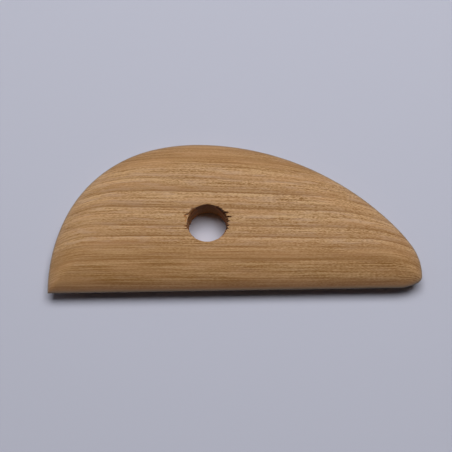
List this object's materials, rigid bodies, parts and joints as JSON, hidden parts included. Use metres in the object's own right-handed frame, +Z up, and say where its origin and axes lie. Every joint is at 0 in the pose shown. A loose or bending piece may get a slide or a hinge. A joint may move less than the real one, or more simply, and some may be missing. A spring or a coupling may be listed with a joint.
{
  "type": "pottery rib",
  "caption": "Half-moon wooden shaping rib with a straight edge, a long curved edge, both faces rounded to a thin edge, and a round finger hole.",
  "frame": {"origin": "on the axis of the finger hole, at the face that the rib rests on", "axes": "+X along the straight edge from the heel to the nose, +Y from the straight edge to the curved back, +Z up through the board's thickness along the hole's axis"},
  "size_m": [0.1217, 0.0508, 0.0095],
  "materials": {
    "hardwood": "bare fine-sanded cherry-like hardwood with straight grain, unvarnished and matt"
  },
  "bodies": {
    "root": {"rib": "hardwood"}
  },
  "joints": []
}
